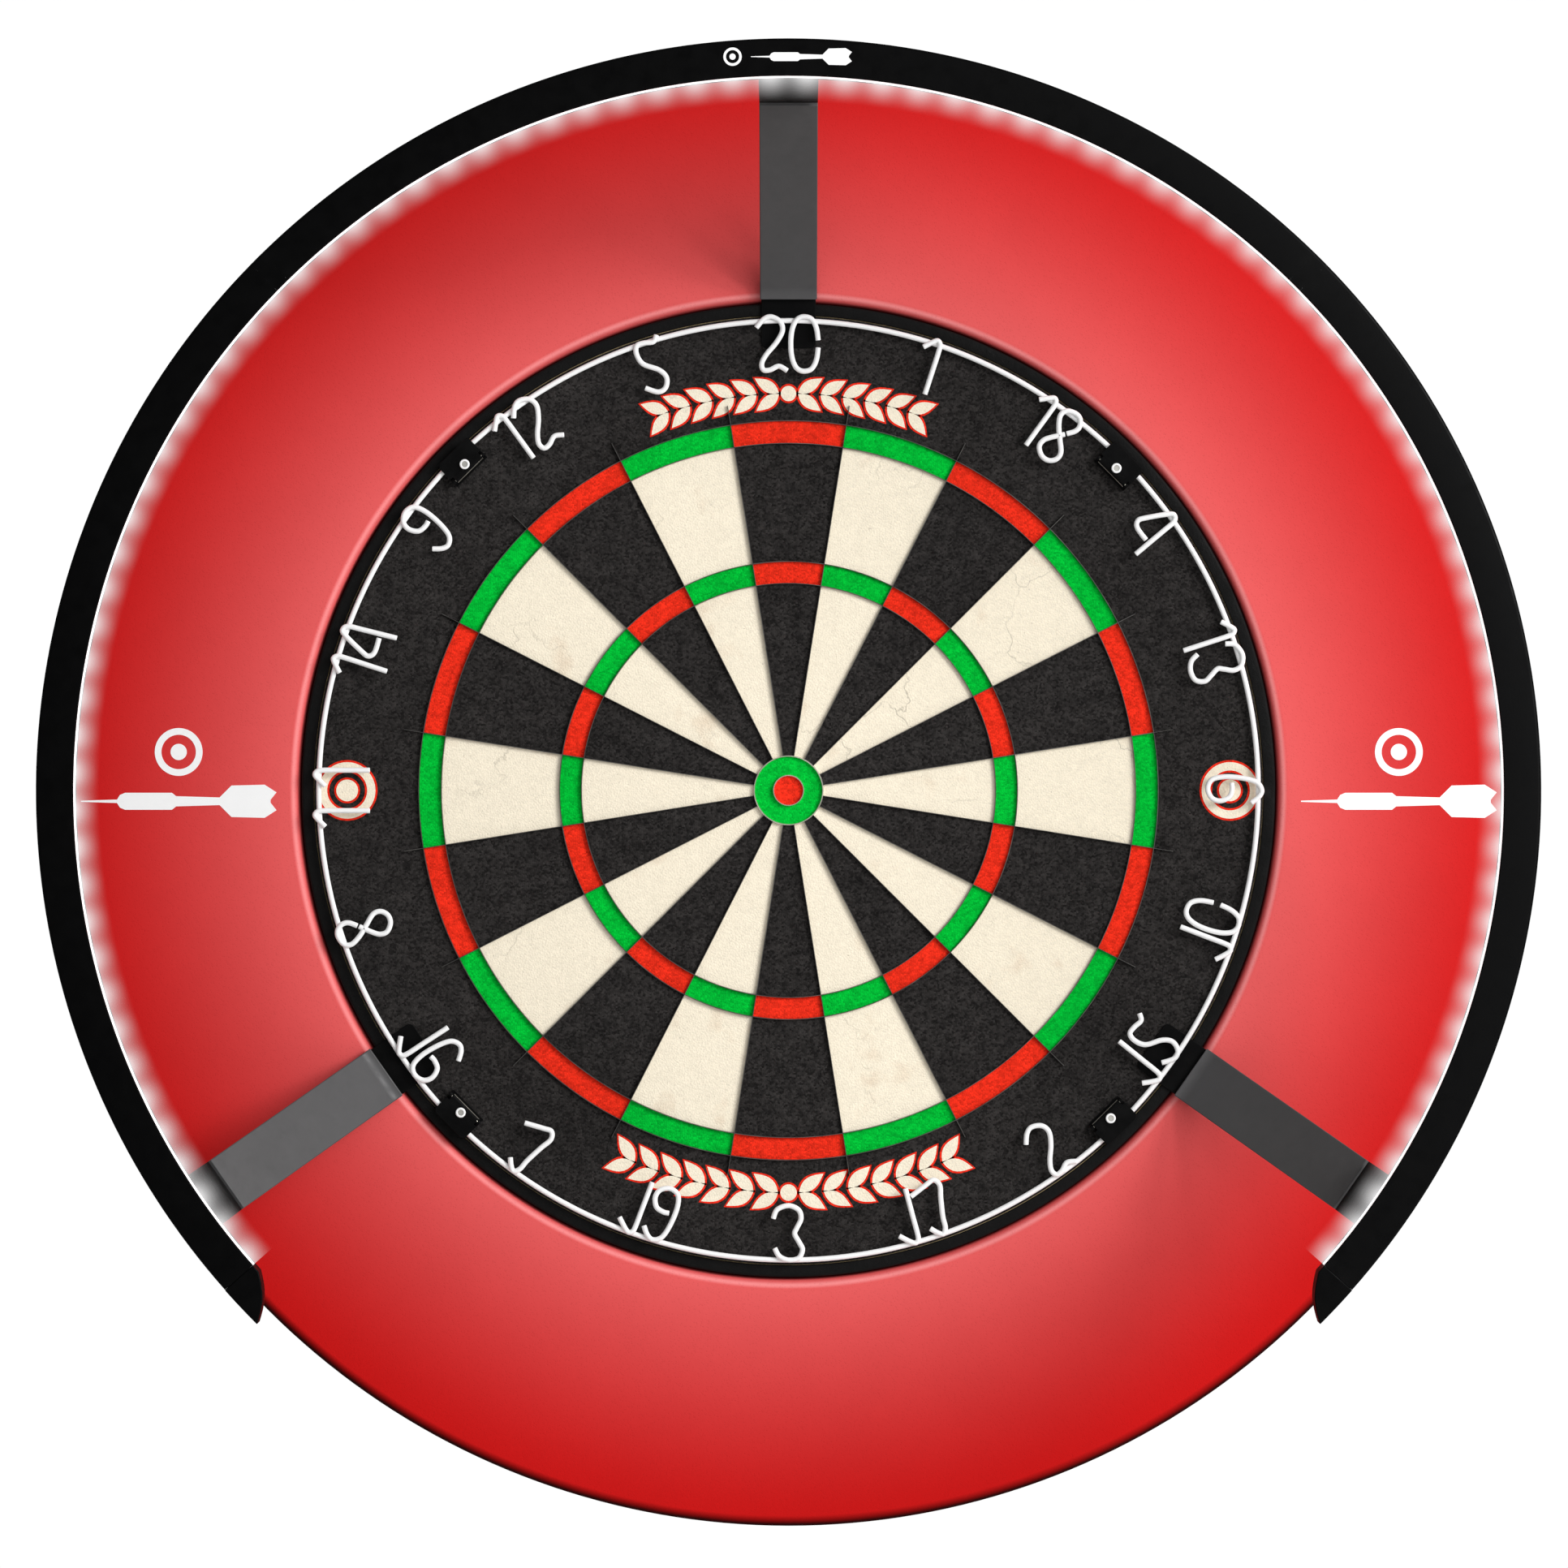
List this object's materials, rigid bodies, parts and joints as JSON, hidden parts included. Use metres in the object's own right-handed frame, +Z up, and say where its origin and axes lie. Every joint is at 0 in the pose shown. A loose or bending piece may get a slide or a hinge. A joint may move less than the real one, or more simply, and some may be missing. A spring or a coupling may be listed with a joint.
{
  "type": "dartboard",
  "caption": "Round bristle dartboard with wire web and numeral ring, foam surround, wall bracket and a magnetically held ring light on slim arms.",
  "frame": {"origin": "on the wall plane, at the back of the wall bracket, straight behind the bull", "axes": "+Z up, the board faces -Y, +X to the right as seen by the player"},
  "size_m": [0.6778, 0.2269, 0.6778],
  "materials": {
    "sisal": "matte",
    "backing": "matte",
    "black_steel": "satin",
    "bright_steel": "polished",
    "white_wire": "satin",
    "white_plastic": "gloss",
    "red_foam": "matte",
    "grey_metal": "satin",
    "black_plastic": "satin",
    "diffuser": "satin",
    "circuit_white": "matte",
    "magnet": "polished",
    "zinc": "satin",
    "rubber": "matte"
  },
  "bodies": {
    "wall_mount": {"wall_bracket": "zinc", "wall_screw_left": "zinc", "wall_screw_right": "zinc"},
    "board": {"sisal_disc": "sisal", "backing_board": "backing", "rim_band": "black_steel", "wire_web": "bright_steel", "inner_bull_ring": "bright_steel", "hanging_screw": "zinc", "spacer_foot_1": "rubber", "spacer_foot_2": "rubber", "spacer_foot_3": "rubber", "clip_base_1": "black_steel", "clip_base_2": "black_steel", "clip_base_3": "black_steel", "clip_base_4": "black_steel", "clip_pin_1": "bright_steel", "clip_pin_2": "bright_steel", "clip_pin_3": "bright_steel", "clip_pin_4": "bright_steel"},
    "number_ring": {"number_ring": "white_wire"},
    "clip_1": {"clip_flap_1": "black_steel", "clip_stud_1": "white_plastic"},
    "clip_2": {"clip_flap_2": "black_steel", "clip_stud_2": "white_plastic"},
    "clip_3": {"clip_flap_3": "black_steel", "clip_stud_3": "white_plastic"},
    "clip_4": {"clip_flap_4": "black_steel", "clip_stud_4": "white_plastic"},
    "surround": {"foam_surround": "red_foam"},
    "top_arm": {"top_arm_tongue": "black_steel", "top_arm_strip": "grey_metal", "top_arm_leg": "black_plastic", "top_arm_magnet": "magnet"},
    "left_arm": {"left_arm_tongue": "black_steel", "left_arm_strip": "grey_metal", "left_arm_leg": "black_plastic", "left_arm_magnet": "magnet"},
    "right_arm": {"right_arm_tongue": "black_steel", "right_arm_strip": "grey_metal", "right_arm_leg": "black_plastic", "right_arm_magnet": "magnet"},
    "light": {"light_housing_right": "black_plastic", "light_housing_top": "black_plastic", "light_housing_left": "black_plastic", "led_strip_right": "circuit_white", "led_strip_top": "circuit_white", "led_strip_left": "circuit_white", "light_diffuser_right": "diffuser", "light_diffuser_top": "diffuser", "light_diffuser_left": "diffuser", "light_joiner_right": "black_plastic", "light_joiner_left": "black_plastic", "light_end_cap_right": "black_plastic", "light_end_cap_left": "black_plastic", "top_keeper_plate": "zinc", "left_keeper_plate": "zinc", "right_keeper_plate": "zinc", "power_inlet": "black_plastic"}
  },
  "joints": [
    {"name": "board_lift", "type": "slide", "parent": "wall_mount", "child": "board", "axis": [0, 0, 1], "range_m": [0, 0.03]},
    {"name": "number_ring_pull", "type": "slide", "parent": "board", "child": "number_ring", "axis": [0, -1, 0], "range_m": [0, 0.01]},
    {"name": "surround_push_back", "type": "slide", "parent": "board", "child": "surround", "axis": [0, 1, 0], "range_m": [0, 0.012]},
    {"name": "light_pull", "type": "slide", "parent": "board", "child": "light", "axis": [0, -1, 0], "range_m": [0, 0.06]},
    {"name": "clip_1_flap", "type": "hinge", "parent": "board", "child": "clip_1", "pos_m": [0.14878, -0.0499, 0.14621], "axis": [0.7009, 0, -0.7133], "range_deg": [0, 95]},
    {"name": "clip_2_flap", "type": "hinge", "parent": "board", "child": "clip_2", "pos_m": [-0.14699, -0.0499, 0.14802], "axis": [0.7096, 0, 0.7046], "range_deg": [0, 95]},
    {"name": "clip_3_flap", "type": "hinge", "parent": "board", "child": "clip_3", "pos_m": [-0.14878, -0.0499, -0.14621], "axis": [-0.7009, 0, 0.7133], "range_deg": [0, 95]},
    {"name": "clip_4_flap", "type": "hinge", "parent": "board", "child": "clip_4", "pos_m": [0.14621, -0.0499, -0.14878], "axis": [-0.7133, 0, -0.7009], "range_deg": [0, 95]},
    {"name": "top_arm_pull", "type": "slide", "parent": "board", "child": "top_arm", "axis": [0, 0, 1], "range_m": [0, 0.025]},
    {"name": "left_arm_pull", "type": "slide", "parent": "board", "child": "left_arm", "axis": [-0.8192, 0, -0.5736], "range_m": [0, 0.025]},
    {"name": "right_arm_pull", "type": "slide", "parent": "board", "child": "right_arm", "axis": [0.8192, 0, -0.5736], "range_m": [0, 0.025]}
  ],
  "couplings": [
    {"joint": "clip_1_flap", "follows": "number_ring_pull", "rad_per_m": 157.08},
    {"joint": "clip_2_flap", "follows": "number_ring_pull", "rad_per_m": 157.08},
    {"joint": "clip_3_flap", "follows": "number_ring_pull", "rad_per_m": 157.08},
    {"joint": "clip_4_flap", "follows": "number_ring_pull", "rad_per_m": 157.08}
  ]
}
